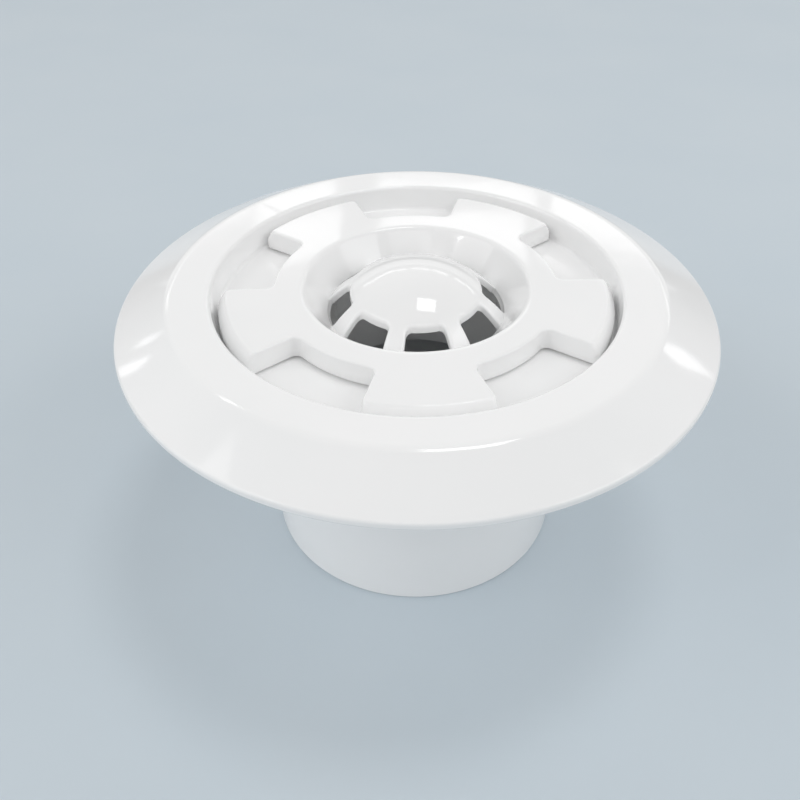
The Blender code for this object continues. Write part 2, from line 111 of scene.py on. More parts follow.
# Regulating wheel
WHEEL_TOP = 67.9
WHEEL_UNDERSIDE = 63.0
LOBE_COUNT = 5
LOBE_HALF_ANGLE = math.radians(18.0)
LOBE_AZIMUTH = math.radians(4.0)
LOBE_RADIUS = 45.0
LOBE_TOP_RADIUS = 43.4
LOBE_CHAMFER_FOOT = 65.4         # the lobes' ends slope inwards above this height
NOTCH_RADIUS = 32.6
LOBE_CORNER = 1.4
NOTCH_FILLET = 1.8
WHEEL_EDGE = 0.5
WHEEL_FOOT_ROUND = 0.35
WHEEL_SHARP_ANGLE = math.radians(40.0)
WALL_DRAFT = 0.25
FLAT_MARGIN = 0.25
POCKET_WALL = 2.4
POCKET_ROOF = 65.4
POCKET_CORNER = 1.5
BOWL_RADIUS = 25.8
BOWL_FOOT_RADIUS = 20.6
BOWL_FOOT = 61.47
BOWL_EDGE = 0.7                  # height over which the bowl's rim is rounded
BOWL_FILLET = 0.6                # height over which ribs run into the bowl
HUB_RADIUS = 21.9
HUB_FOOT = WHEEL_LOW.z

# Dome
DOME_TOP = WHEEL_HIGH.z
DOME_RADIUS = 26.5
DOME_WALL = 1.5
SLOT_COUNT = 8
SLOT_AZIMUTH = math.radians(8.3)
SLOT_HALF_ANGLE = math.radians(15.5)
SLOT_INNER = 15.15
SLOT_OUTER = 20.4
SLOT_CORNER_INNER = 1.3
SLOT_CORNER_OUTER = 0.5
SLOT_EDGE = 0.7
SLOT_OUTER_EDGE = 0.4            # the slots' outer edges follow the slope of the bowl's wall
SLOT_LEAN = 0.5                  # and go on inwards by this much to the hub's foot
SLOT_CLEARANCE = 0.12            # of the mesh's other points from a slot's edges

# Threads, sleeve and bush
THREAD_PITCH = 4.0
THREAD_DEPTH = 1.0
THREAD_ROOT_WIDTH = 2.3
THREAD_CREST_WIDTH = 1.3
RIDGE_SINK = 0.35                # of a ridge's foot below the surface it grows from
RIDGE_START = 0.35               # share of a ridge's height at its very ends
RIDGE_FADE = 1.0 / 8.0           # share of a turn over which a ridge reaches its full height
SLEEVE_BORE = 20.2
SLEEVE_LEDGE = 0.8
SLEEVE_CHAMFER = 0.4
SLEEVE_LEAD_IN = 0.3
SLEEVE_THREAD = (43.6, 51.4)
BUSH_THREAD = (46.6, 55.4)
BUSH_COLLAR_HEIGHT = 1.3
PORT_COUNT = 6
PORT_HEIGHTS = (52.6, 58.9)
PORT_HALF_ANGLE = math.radians(17.0)
PORT_CORNER = 0.9
PORT_CUT = (3.0, 2.0)            # how far the ports' cutters run past the wall, inwards and outwards
STOP_OPENING = math.radians(20.0)
STOP_GROOVE_DEPTH = 1.0
STOP_EDGE = 0.2

# Screws
SCREW_COUNT = 6
SCREW_CIRCLE = 29.3
SCREW_LENGTH = 14.0
SCREW_RADIUS = 1.35
SCREW_CORE = 1.0
SCREW_PITCH = 1.25
SCREW_HEAD_RADIUS = 2.6
SCREW_HEAD_HEIGHT = 1.6
SCREW_HEAD_SINK = 0.1            # of the head below the recess floor
SCREW_CROSS = (3.0, 0.8, 1.1)    # length, width and depth of the driver cross
SCREW_RIM = ((0.1, 0.0), (0.0, 0.08), (0.05, 0.2))  # the head's edge, inwards and down
SCREW_NECK = (0.15, 0.25)        # width and height of the fillet under the head
SCREW_TIP = (0.15, 0.1)          # radius and height of the blunt tip
SCREW_TAPER = 2.2                # length of the tip's taper
SCREW_RIDGE = (0.5, 0.12)        # widths of the thread at its root and its crest
SCREW_RIDGE_ENDS = (2.0, 0.4)    # how far the thread stops from the tip and from the head
SCREW_TURN = 1.7                 # spreads the turns at which the screws have come to rest
PILOT_GAP = 0.05                 # between a screw's thread and its pilot hole

# Fineness: steps round a circle
FINE = 240
MEDIUM = 128
SMALL = 32
HIDDEN = 96                      # inside the dome

# Fineness: steps along the parts of an outline
CORNER_STEPS = 6
FLANK_STEPS = 6
SECTOR_SIDE_STEPS = 12
LOBE_CORNER_STEPS = 7
NOTCH_FILLET_STEPS = 8
LOBE_END_STEPS = 20
NOTCH_STEPS = 16
ORING_STEPS = 24


# ---------------------------------------------------------------- plane geometry

def front_angle(azimuth):
    """Angle from +X of an azimuth counted from -Y, the front, towards +X."""
    return azimuth - math.pi / 2.0


def polar(radius, angle, z):
    return Vector((radius * math.cos(angle), radius * math.sin(angle), z))


def arc(centre, radius, start, stop, steps):
    angles = np.linspace(start, stop, steps + 1)
    return [(centre[0] + radius * math.cos(a), centre[1] + radius * math.sin(a)) for a in angles]


def between(start, stop, steps):
    """The points that divide a straight line into steps, its ends left out."""
    return [start.lerp(stop, k / steps) for k in range(1, steps)]


def rounded(corners, step=math.radians(12.0)):
    """A closed outline whose corners (x, y, radius) are rounded, with arc points every step."""
    points = []
    for i, (x, y, radius) in enumerate(corners):
        if radius == 0.0:
            points.append((x, y))
            continue
        here = Vector((x, y))
        before = (Vector(corners[i - 1][:2]) - here).normalized()
        after = (Vector(corners[(i + 1) % len(corners)][:2]) - here).normalized()
        half = before.angle(after) / 2.0
        centre = here + (before + after).normalized() * (radius / math.sin(half))
        first = here + before * (radius / math.tan(half)) - centre
        last = here + after * (radius / math.tan(half)) - centre
        steps = max(2, math.ceil(first.angle(last) / step))
        for k in range(steps + 1):
            points.append(tuple(centre + first.slerp(last, k / steps).normalized() * radius))
    return points


def rounded_sector(inner, outer, half_angle, corners, middle, offset=0.0, outer_share=1.0, density=1.0):
    """A piece of a ring with rounded corners, grown by offset about fixed corner centres.

    corners holds the radius at the inner and at the outer corners. The outer side grows only by
    outer_share of the offset.
    """
    inner_corner, outer_corner = corners
    quarter = max(3, round(CORNER_STEPS * density))
    points = []
    for side in (1, -1):
        along = Vector((math.cos(half_angle), side * math.sin(half_angle)))
        across = Vector((-along.y, along.x)) * side
        outside = outer - outer_corner
        far = along * math.sqrt(outside ** 2 - outer_corner ** 2) - across * outer_corner
        inside = inner + inner_corner
        near = along * math.sqrt(inside ** 2 - inner_corner ** 2) - across * inner_corner
        far_arc = [far + far.normalized().slerp(across, k / quarter)
                   * (outer_corner + offset * (outer_share + (1.0 - outer_share) * k / quarter))
                   for k in range(quarter + 1)]
        near_arc = [near + across.slerp(-near.normalized(), k / quarter) * (inner_corner + offset)
                    for k in range(quarter + 1)]
        half = far_arc + between(far_arc[-1], near_arc[0], FLANK_STEPS) + near_arc
        edge = math.atan2(near.y, near.x) if side == 1 else math.atan2(far.y, far.x)
        radius = inner - offset if side == 1 else outer + offset * outer_share
        bridge = arc((0, 0), radius, edge, -edge, round(SECTOR_SIDE_STEPS * density))[1:-1]
        points += (half if side == 1 else half[::-1]) + [Vector(p) for p in bridge]
    turn = Matrix.Rotation(middle, 2)
    return [tuple(turn @ point) for point in points]


def lobe_outline(lobe_radius, inset, middle):
    """A lobe and the notch after it, moved inwards by inset about fixed corner centres."""
    points = []
    for side in (-1, 1):
        along = Vector((math.cos(LOBE_HALF_ANGLE), side * math.sin(LOBE_HALF_ANGLE)))
        across = Vector((-along.y, along.x)) * side
        outside = lobe_radius - LOBE_CORNER
        corner = along * math.sqrt(outside ** 2 - LOBE_CORNER ** 2) - across * LOBE_CORNER
        inside = NOTCH_RADIUS + NOTCH_FILLET
        fillet = along * math.sqrt(inside ** 2 - NOTCH_FILLET ** 2) + across * NOTCH_FILLET
        outward, inward = corner.normalized(), -fillet.normalized()
        half = [corner + outward.slerp(across, k / LOBE_CORNER_STEPS) * (LOBE_CORNER - inset)
                for k in range(LOBE_CORNER_STEPS + 1)]
        half += between(half[-1], fillet - across * (NOTCH_FILLET + inset), FLANK_STEPS)
        half += [fillet + (-across).slerp(inward, k / NOTCH_FILLET_STEPS) * (NOTCH_FILLET + inset)
                 for k in range(NOTCH_FILLET_STEPS + 1)]
        points += half if side == 1 else half[::-1]
        if side == -1:
            edge = math.atan2(corner.y, corner.x)
            lobe_end = arc((0, 0), lobe_radius - inset, edge, -edge, LOBE_END_STEPS)
            points += [Vector(p) for p in lobe_end[1:-1]]
    notch_edge = math.atan2(fillet.y, fillet.x)
    next_edge = TURN / LOBE_COUNT - notch_edge
    notch = arc((0, 0), NOTCH_RADIUS - inset, notch_edge, next_edge, NOTCH_STEPS)
    points += [Vector(p) for p in notch[1:-1]]
    turn = Matrix.Rotation(middle, 2)
    return [tuple(turn @ point) for point in points]


def lobe_angle(index):
    return front_angle(LOBE_AZIMUTH) + TURN * index / LOBE_COUNT


def lobe_end_radius(height):
    """Radius of the lobes' ends at a height, before the top edge is rounded."""
    rise = max(0.0, height - LOBE_CHAMFER_FOOT) / (WHEEL_TOP - LOBE_CHAMFER_FOOT)
    return LOBE_RADIUS + (LOBE_TOP_RADIUS - LOBE_RADIUS) * rise


def wheel_outline(lobe_radius, inset):
    return [p for i in range(LOBE_COUNT) for p in lobe_outline(lobe_radius, inset, lobe_angle(i))]


# ---------------------------------------------------------------- mesh helpers

def make_object(name, bm, sharp=SHARP_ANGLE):
    """An object from a bmesh in millimetres, with faces outwards and its edges sharp past an angle."""
    bmesh.ops.scale(bm, vec=(MM, MM, MM), verts=bm.verts)
    bmesh.ops.remove_doubles(bm, verts=bm.verts, dist=MERGE_DISTANCE)
    bmesh.ops.recalc_face_normals(bm, faces=bm.faces)
    mesh = bpy.data.meshes.new(name)
    bm.to_mesh(mesh)
    bm.free()
    mesh.shade_smooth()
    mesh.set_sharp_from_angle(angle=sharp)
    obj = bpy.data.objects.new(name, mesh)
    bpy.context.scene.collection.objects.link(obj)
    return obj


def spin(bm, outline, steps, closed=True):
    """Turn an outline of (radius, height) points about the axis."""
    rings = [[bm.verts.new(polar(r, TURN * i / steps, z)) for r, z in outline] for i in range(steps)]
    spans = len(outline) if closed else len(outline) - 1
    for i in range(steps):
        near, far = rings[i - 1], rings[i]
        for j in range(spans):
            after = (j + 1) % len(outline)
            bm.faces.new((near[j], near[after], far[after], far[j]))
    return [vert for ring in rings for vert in ring]


def turned(name, outline, steps=FINE, closed=True):
    bm = bmesh.new()
    spin(bm, outline, steps, closed)
    return make_object(name, bm)


def prism(bm, outline, low, high, placement=None):
    lower = [bm.verts.new((x, y, low)) for x, y in outline]
    upper = [bm.verts.new((x, y, high)) for x, y in outline]
    bm.faces.new(lower[::-1])
    bm.faces.new(upper)
    wall(bm, upper, lower)
    if placement is not None:
        bmesh.ops.transform(bm, matrix=placement, verts=lower + upper)


def wall(bm, upper, lower):
    """Quads between two loops with the same number of vertices."""
    for i in range(len(upper)):
        bm.faces.new((upper[i - 1], upper[i], lower[i], lower[i - 1]))


def loop(bm, outline, height):
    """Vertices over an outline. height is a number, or a function of the radius."""
    lift = height if callable(height) else (lambda radius: height)
    return [bm.verts.new((x, y, lift(math.hypot(x, y)))) for x, y in outline]


def sheet(bm, boundaries, rings, height, blocked=None):
    """A surface over the area inside the first boundary and outside the others.

    rings are closed rows of extra points. height gives z from the radius, and blocked is true
    where a ring's point has to be left out. The points on the boundaries join the walls that
    share them when doubles are merged.
    """
    points, edges, heights = [], [], []
    for outline, lift in boundaries:
        first = len(points)
        for x, y in outline:
            points.append(Vector((x, y)))
            heights.append(lift(math.hypot(x, y)))
        count = len(outline)
        edges += [(first + i, first + (i + 1) % count) for i in range(count)]
    for ring in rings:
        for x, y in ring:
            if blocked is None or not blocked(x, y):
                points.append(Vector((x, y)))
                heights.append(height(math.hypot(x, y)))
    verts, _, faces, vert_sources, _, _ = delaunay_2d_cdt(points, edges, [], 0, 1e-6)
    made = [bm.verts.new((v.x, v.y, heights[source[0]])) for v, source in zip(verts, vert_sources)]
    outer, holes = boundaries[0][0], [outline for outline, _ in boundaries[1:]]
    for face in faces:
        middle = sum((verts[i] for i in face), Vector((0.0, 0.0))) / len(face)
        if inside(outer, middle) and not any(inside(hole, middle) for hole in holes):
            bm.faces.new([made[i] for i in face])
    loose = [vert for vert in made if not vert.link_faces]
    bmesh.ops.delete(bm, geom=loose, context='VERTS')


def inside(outline, point):
    """True if a point is inside a closed outline, by the crossing rule."""
    corners = np.array(outline)
    x, y = corners[:, 0], corners[:, 1]
    next_x, next_y = np.roll(x, -1), np.roll(y, -1)
    straddles = (y > point[1]) != (next_y > point[1])
    with np.errstate(divide='ignore', invalid='ignore'):
        crossing = x + (point[1] - y) * (next_x - x) / (next_y - y)
    return bool(np.count_nonzero(straddles & (point[0] < crossing)) % 2)


def circle(radius, steps=FINE):
    return arc((0.0, 0.0), radius, 0.0, TURN, steps)[:-1]


def combine(target, tool, operation):
    """Apply a Boolean with a tool and remove the tool."""
    modifier = target.modifiers.new("combine", 'BOOLEAN')
    modifier.object = tool
    modifier.operation = operation
    modifier.solver = 'EXACT'
    bpy.context.view_layer.update()
    evaluated = target.evaluated_get(bpy.context.evaluated_depsgraph_get())
    mesh = bpy.data.meshes.new_from_object(evaluated)
    target.modifiers.clear()
    target.data = mesh
    bpy.data.objects.remove(tool)
    mesh.shade_smooth()
    mesh.set_sharp_from_angle(angle=SHARP_ANGLE)
    return target


def helix_tool(name, root, crest, pitch, widths, span, phase_height, steps_per_turn=MEDIUM):
    """A helical ridge from a root radius to a crest radius, sunk a little into its root.

    widths are the ridge's widths at the root and at the crest, and phase_height is a height at
    which its middle passes the front. The ridge fades in and out at its ends.
    """
    low, high = span
    sink = math.copysign(RIDGE_SINK, root - crest)
    foot = root + sink
    half_root, half_crest = widths[0] / 2.0, widths[1] / 2.0
    section = [(foot, -half_root), (root, -half_root), (crest, -half_crest),
               (crest, half_crest), (root, half_root), (foot, half_root)]
    rise = high - low - widths[0]
    steps = math.ceil(rise / pitch * steps_per_turn)
    bm = bmesh.new()
    rows = []
    for i in range(steps + 1):
        z = low + half_root + rise * i / steps
        angle = front_angle(0.0) + TURN * (z - phase_height) / pitch
        fade = min(1.0, min(i, steps - i) / (RIDGE_FADE * steps_per_turn))
        depth = RIDGE_START + (1.0 - RIDGE_START) * fade
        row = [polar(foot + (r - foot) * depth, angle, z + dz) for r, dz in section]
        rows.append([bm.verts.new(point) for point in row])
    for near, far in zip(rows, rows[1:]):
        wall(bm, near, far)
    bm.faces.new(rows[0])
    bm.faces.new(rows[-1][::-1])
    bmesh.ops.triangulate(bm, faces=bm.faces)
    return make_object(name, bm)


def flatten_shading(obj):
    """Let large flat faces keep their own shading beside the rounded edges they run into."""
    modifier = obj.modifiers.new("flat_faces", 'WEIGHTED_NORMAL')
    modifier.keep_sharp = True


def dress(obj, node, body, mat):
    """Give a finished piece its material and let it stand for its CAD node."""
    obj.data.materials.clear()
    obj.data.materials.append(mat)
    if node != "regulating_wheel":
        flatten_shading(obj)
    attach(obj, body)
    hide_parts(node)
    return obj


# ---------------------------------------------------------------- materials

def new_material(name, roughness, metallic=0.0):
    mat = bpy.data.materials.new(name)
    mat.use_nodes = True
    shader = mat.node_tree.nodes["Principled BSDF"]
    shader.inputs["Metallic"].default_value = metallic
    shader.inputs["Roughness"].default_value = roughness
    return mat, mat.node_tree, shader


def noise(tree, scale, detail=2.0, stretch=None):
    """Noise in the piece's own coordinates, scale in features per metre."""
    coordinates = tree.nodes.new("ShaderNodeTexCoord")
    source = coordinates.outputs["Object"]
    if stretch is not None:
        mapping = tree.nodes.new("ShaderNodeMapping")
        mapping.inputs["Scale"].default_value = stretch
        tree.links.new(source, mapping.inputs["Vector"])
        source = mapping.outputs["Vector"]
    texture = tree.nodes.new("ShaderNodeTexNoise")
    texture.inputs["Scale"].default_value = scale
    texture.inputs["Detail"].default_value = detail
    tree.links.new(source, texture.inputs["Vector"])
    return texture.outputs["Fac"]


def remap(tree, source, low, high, start=0.3, stop=0.7):
    node = tree.nodes.new("ShaderNodeMapRange")
    node.inputs["From Min"].default_value = start
    node.inputs["From Max"].default_value = stop
    node.inputs["To Min"].default_value = low
    node.inputs["To Max"].default_value = high
    tree.links.new(source, node.inputs["Value"])
    return node.outputs["Result"]


def tint(tree, factor, first, second):
    node = tree.nodes.new("ShaderNodeMix")
    node.data_type = 'RGBA'
    node.inputs["A"].default_value = (*first, 1.0)
    node.inputs["B"].default_value = (*second, 1.0)
    tree.links.new(factor, node.inputs["Factor"])
    return node.outputs["Result"]


def bump(tree, shader, layers):
    """Stack bump layers of (height, strength, distance) onto the shader's normal."""
    normal = None
    for height, strength, distance in layers:
        node = tree.nodes.new("ShaderNodeBump")
        node.inputs["Strength"].default_value = strength
        node.inputs["Distance"].default_value = distance
        tree.links.new(height, node.inputs["Height"])
        if normal is not None:
            tree.links.new(normal, node.inputs["Normal"])
        normal = node.outputs["Normal"]
    tree.links.new(normal, shader.inputs["Normal"])


def edge_mask(tree):
    """Bright on convex edges, where handling rubs the gloss off."""
    geometry = tree.nodes.new("ShaderNodeNewGeometry")
    return remap(tree, geometry.outputs["Pointiness"], 0.0, 1.0, 0.52, 0.60)


def white_abs(name, gloss, ripple, light=(0.95, 0.95, 0.95), shade=(0.93, 0.935, 0.935)):
    """Glossy moulded ABS: faint cloudiness, orange-peel waviness and slightly duller edges."""
    mat, tree, shader = new_material(name, gloss[0])
    cloud = noise(tree, 38.0, 3.0)
    colour = tint(tree, remap(tree, cloud, 0.0, 1.0), light, shade)
    tree.links.new(colour, shader.inputs["Base Color"])
    patchy = remap(tree, noise(tree, 120.0, 4.0), gloss[0], gloss[1])
    worn = tree.nodes.new("ShaderNodeMath")
    worn.operation = 'MULTIPLY_ADD'
    tree.links.new(edge_mask(tree), worn.inputs[0])
    worn.inputs[1].default_value = 0.10
    tree.links.new(patchy, worn.inputs[2])
    tree.links.new(worn.outputs[0], shader.inputs["Roughness"])
    shader.inputs["IOR"].default_value = 1.53
    waviness = noise(tree, 160.0, 1.0)
    grain = noise(tree, 2600.0, 2.0)
    bump(tree, shader, [(waviness, ripple, 0.00025), (grain, 0.06, 0.00002)])
    return mat


def natural_acetal(name):
    """Waxy off-white acetal with a fine matt grain."""
    mat, tree, shader = new_material(name, 0.35)
    cloud = remap(tree, noise(tree, 90.0, 3.0), 0.0, 1.0)
    colour = tint(tree, cloud, (0.80, 0.80, 0.76), (0.75, 0.75, 0.71))
    tree.links.new(colour, shader.inputs["Base Color"])
    tree.links.new(remap(tree, noise(tree, 400.0, 3.0), 0.28, 0.42), shader.inputs["Roughness"])
    bump(tree, shader, [(noise(tree, 3000.0, 3.0), 0.12, 0.00003)])
    return mat


def black_rubber(name):
    """Matt EPDM with a dusty bloom."""
    mat, tree, shader = new_material(name, 0.6)
    bloom = remap(tree, noise(tree, 150.0, 5.0), 0.0, 1.0)
    colour = tint(tree, bloom, (0.018, 0.018, 0.019), (0.040, 0.040, 0.042))
    tree.links.new(colour, shader.inputs["Base Color"])
    tree.links.new(remap(tree, noise(tree, 500.0, 3.0), 0.48, 0.70), shader.inputs["Roughness"])
    bump(tree, shader, [(noise(tree, 4000.0, 2.0), 0.25, 0.00004)])
    return mat


def stainless_steel(name):
    """Drawn and rolled steel, with fine marks round the screw."""
    mat, tree, shader = new_material(name, 0.3, metallic=1.0)
    marks = noise(tree, 900.0, 3.0, stretch=(1.0, 1.0, 6.0))
    colour = tint(tree, remap(tree, marks, 0.0, 1.0), (0.66, 0.655, 0.64), (0.54, 0.535, 0.53))
    tree.links.new(colour, shader.inputs["Base Color"])
    tree.links.new(remap(tree, marks, 0.20, 0.38), shader.inputs["Roughness"])
    bump(tree, shader, [(marks, 0.15, 0.00002)])
    return mat


# ---------------------------------------------------------------- fixed pieces

def screw_angles():
    return [front_angle(TURN * i / SCREW_COUNT) for i in range(SCREW_COUNT)]


def at_screws(name, outline):
    """A turned cutter at each screw."""
    bm = bmesh.new()
    for angle in screw_angles():
        verts = spin(bm, outline, SMALL, closed=False)
        bmesh.ops.translate(bm, verts=verts, vec=polar(SCREW_CIRCLE, angle, 0.0))
    return make_object(name, bm)


def pipe_socket(mat):
    collar_top = GASKET_LOW.z - GAP
    collar_foot = collar_top - COLLAR_THICKNESS
    bush_seat = BUSH_HIGH.z - BUSH_COLLAR_HEIGHT - GAP
    counterbore = BUSH_HIGH.x + GAP
    outline = rounded([
        (counterbore, BODY_TOP, 0.3),
        (NECK_RADIUS, BODY_TOP, 0.3),
        (NECK_RADIUS, collar_top, 0.3),
        (COLLAR_RADIUS, collar_top, 0.5),
        (COLLAR_RADIUS, collar_foot, 0.8),
        (SOCKET_OUTER, collar_foot, COLLAR_GUSSET),
        (SOCKET_OUTER, 0.0, 0.7),
        (SOCKET_BORE, 0.0, 1.2),
        (SOCKET_BORE, SOCKET_DEPTH, 0.4),
        (THROAT_RADIUS, SOCKET_DEPTH, 0.4),
        (THROAT_RADIUS, bush_seat, 0.2),
        (counterbore, bush_seat, 0.2),
    ])
    body = turned("socket_moulding", outline)
    radius = SCREW_RADIUS + PILOT_GAP
    foot = RECESS_FLOOR - SCREW_LENGTH - OVERSHOOT
    top = BODY_TOP + OVERSHOOT
    holes = at_screws("pilot_holes", [(0.0, top), (radius, top), (radius, foot), (0.0, foot)])
    combine(body, holes, 'DIFFERENCE')
    return dress(body, "pipe_socket", "socket", mat)


def skirt_underside(radius, wall_thickness):
    """Height inside the flange's sloping skirt at a radius, under a wall of this thickness."""
    slope = (RIDGE_TOP - FLANGE_BASE - LIP_HEIGHT) / (FLANGE_RADIUS - RIDGE_RADIUS)
    outer_face = RIDGE_TOP - slope * (radius - RIDGE_RADIUS)
    return outer_face - wall_thickness * math.hypot(1.0, slope)


def flange_outline():
    hollow = RECESS_RADIUS + FLANGE_WALL
    land = FLANGE_RADIUS - LAND_WIDTH
    ceiling = RIDGE_TOP - RIDGE_FALL - FLANGE_WALL
    return rounded([
        (THROAT_RADIUS, RECESS_FLOOR, 0.4),
        (THROAT_RADIUS, FLOOR_FOOT, 0.3),
        (hollow, FLOOR_FOOT, 1.0),
        (hollow, ceiling, 1.0),
        (RIDGE_RADIUS - CEILING_INSET, ceiling, 2.0),
        (land, skirt_underside(land, FLANGE_WALL), 0.4),
        (land, FLANGE_BASE, 0.3),
        (FLANGE_RADIUS, FLANGE_BASE, 0.6),
        (FLANGE_RADIUS, FLANGE_BASE + LIP_HEIGHT, 0.9),
        (RIDGE_RADIUS, RIDGE_TOP, 4.0),
        (RECESS_RADIUS, RIDGE_TOP - RIDGE_FALL, 1.0),
        (RECESS_RADIUS - RECESS_DRAFT, RECESS_FLOOR, 0.9),
    ], step=math.radians(6.0))


def flange_ribs():
    inner = RECESS_RADIUS + FLANGE_WALL - OVERLAP
    outer = FLANGE_RADIUS - LAND_WIDTH + OVERLAP
    foot = FLANGE_BASE + GAP
    cover = FLANGE_WALL - OVERLAP
    ceiling = RIDGE_TOP - RIDGE_FALL - cover
    outline = [(inner, foot), (outer, foot), (outer, skirt_underside(outer, cover)),
               (RIDGE_RADIUS - OVERLAP, ceiling), (inner, ceiling)]
    upright = Matrix.Rotation(math.pi / 2.0, 4, 'X')
    bm = bmesh.new()
    for i in range(RIB_COUNT):
        around = Matrix.Rotation(TURN * (i + 0.5) / RIB_COUNT, 4, 'Z')
        prism(bm, outline, -RIB_THICKNESS / 2.0, RIB_THICKNESS / 2.0, around @ upright)
    return make_object("ribs", bm)


def face_flange(mat):
    flange = turned("flange_moulding", flange_outline(), 2 * FINE)
    combine(flange, flange_ribs(), 'UNION')
    narrow = SCREW_RADIUS + GAP
    wide = SCREW_HEAD_RADIUS + GAP
    depth = SCREW_HEAD_HEIGHT + SCREW_HEAD_SINK
    flare = wide + (wide - narrow) * OVERSHOOT / depth
    top = RECESS_FLOOR + OVERSHOOT
    foot = FLOOR_FOOT - OVERSHOOT
    seats = at_screws("seats", [(0.0, top), (flare, top), (narrow, RECESS_FLOOR - depth),
                                (narrow, foot), (0.0, foot)])
    combine(flange, seats, 'DIFFERENCE')
    return dress(flange, "face_flange", "socket", mat)


def flange_gasket(mat):
    outer = GASKET_HIGH.x
    outline = rounded([(outer, GASKET_HIGH.z, GASKET_ROUND), (outer, GASKET_LOW.z, GASKET_ROUND),
                       (GASKET_RADIUS, GASKET_LOW.z, GASKET_ROUND),
                       (GASKET_RADIUS, GASKET_HIGH.z, GASKET_ROUND)])
    return dress(turned("gasket_ring", outline, MEDIUM), "flange_gasket", "socket", mat)


def thread_bush(mat):
    outer = THROAT_RADIUS - GAP
    bore = HUB_RADIUS + GAP + THREAD_DEPTH
    collar_foot = BUSH_HIGH.z - BUSH_COLLAR_HEIGHT
    outline = rounded([
        (bore, BUSH_HIGH.z, 0.4),
        (BUSH_HIGH.x, BUSH_HIGH.z, 0.3),
        (BUSH_HIGH.x, collar_foot, 0.2),
        (outer, collar_foot, 0.2),
        (outer, BUSH_LOW.z, 0.5),
        (bore, BUSH_LOW.z, 0.3),
    ])
    bush = turned("bush_turning", outline, MEDIUM)
    ridge = helix_tool("female_ridge", bore, bore - THREAD_DEPTH, THREAD_PITCH,
                       (THREAD_ROOT_WIDTH, THREAD_CREST_WIDTH), BUSH_THREAD, BUSH_LOW.z)
    combine(bush, ridge, 'UNION')
    return dress(bush, "thread_bush", "socket", mat)


def screw_mesh():
    """One screw standing on the axis, its head's top at height 0."""
    neck_width, neck_height = SCREW_NECK
    tip_radius, tip_height = SCREW_TIP
    rim = [(SCREW_HEAD_RADIUS - inwards, -down) for inwards, down in SCREW_RIM]
    outline = [(0.0, 0.0), *rim, (SCREW_CORE + neck_width, -SCREW_HEAD_HEIGHT),
               (SCREW_CORE, -SCREW_HEAD_HEIGHT - neck_height), (SCREW_CORE, SCREW_TAPER - SCREW_LENGTH),
               (tip_radius, tip_height - SCREW_LENGTH), (0.0, -SCREW_LENGTH)]
    screw = turned("screw", outline, SMALL, closed=False)
    from_tip, from_head = SCREW_RIDGE_ENDS
    span = (from_tip - SCREW_LENGTH, -SCREW_HEAD_HEIGHT - from_head)
    ridge = helix_tool("screw_ridge", SCREW_CORE, SCREW_RADIUS, SCREW_PITCH, SCREW_RIDGE, span,
                       -SCREW_HEAD_HEIGHT, SMALL)
    combine(screw, ridge, 'UNION')
    length, width, depth = SCREW_CROSS
    long, thin = length / 2.0, width / 2.0
    arm = [(long, -thin), (long, thin), (thin, thin)]
    cross = [tuple(Matrix.Rotation(math.pi / 2.0 * k, 2) @ Vector(p)) for k in range(4) for p in arm]
    bm = bmesh.new()
    prism(bm, cross, -depth, OVERSHOOT)
    combine(screw, make_object("driver_cross", bm), 'DIFFERENCE')
    mesh = screw.data
    bpy.data.objects.remove(screw)
    return mesh


def flange_screws(mat):
    mesh = screw_mesh()
    for number, angle in enumerate(screw_angles(), start=1):
        node = "flange_screw_%d" % number
        screw = bpy.data.objects.new("steel_screw_%d" % number, mesh)
        bpy.context.scene.collection.objects.link(screw)
        screw.location = polar(SCREW_CIRCLE, angle, RECESS_FLOOR - SCREW_HEAD_SINK) * MM
        screw.rotation_euler.z = angle * SCREW_TURN
        dress(screw, node, "socket", mat)


# ---------------------------------------------------------------- moving pieces

def blend_up(a, b, width):
    """The larger of two heights, with a fillet where they meet."""
    share = max(width - abs(a - b), 0.0) / width
    return max(a, b) + share * share * width / 4.0


def blend_down(a, b, width):
    """The smaller of two heights, with a rounded edge where they meet."""
    return -blend_up(-a, -b, width)


def wheel_face(radius):
    """Height of the wheel's upper face before its edges are rounded: dome, bowl and flat rim."""
    centre = DOME_TOP - DOME_RADIUS
    dome = centre + math.sqrt(DOME_RADIUS ** 2 - min(radius, DOME_RADIUS - 0.01) ** 2)
    slope = (WHEEL_TOP - BOWL_FOOT) / (BOWL_RADIUS - BOWL_FOOT_RADIUS)
    bowl = BOWL_FOOT + slope * (radius - BOWL_FOOT_RADIUS)
    return blend_up(dome, blend_down(bowl, WHEEL_TOP, BOWL_EDGE), BOWL_FILLET)


def dome_hollow(radius):
    """Height of the dome's inner face, which ends in the hub's flat foot."""
    centre = DOME_TOP - DOME_RADIUS
    hollow = DOME_RADIUS - DOME_WALL
    if radius >= hollow:
        return HUB_FOOT
    return max(HUB_FOOT, centre + math.sqrt(hollow ** 2 - radius ** 2))


def edge_steps(width, steps=6):
    """Pairs (offset, drop) that round an edge over by a quarter circle, from the wall inwards."""
    angles = [math.pi / 2.0 * k / steps for k in range(steps + 1)]
    return [(width * (1.0 - math.cos(a)), width * (1.0 - math.sin(a))) for a in angles]


def slot_angle(index):
    return front_angle(SLOT_AZIMUTH) + TURN * index / SLOT_COUNT


def slot_outline(index, offset, lean=0.0):
    return rounded_sector(SLOT_INNER, SLOT_OUTER - lean, SLOT_HALF_ANGLE,
                          (SLOT_CORNER_INNER, SLOT_CORNER_OUTER), slot_angle(index), offset,
                          outer_share=SLOT_OUTER_EDGE / SLOT_EDGE)


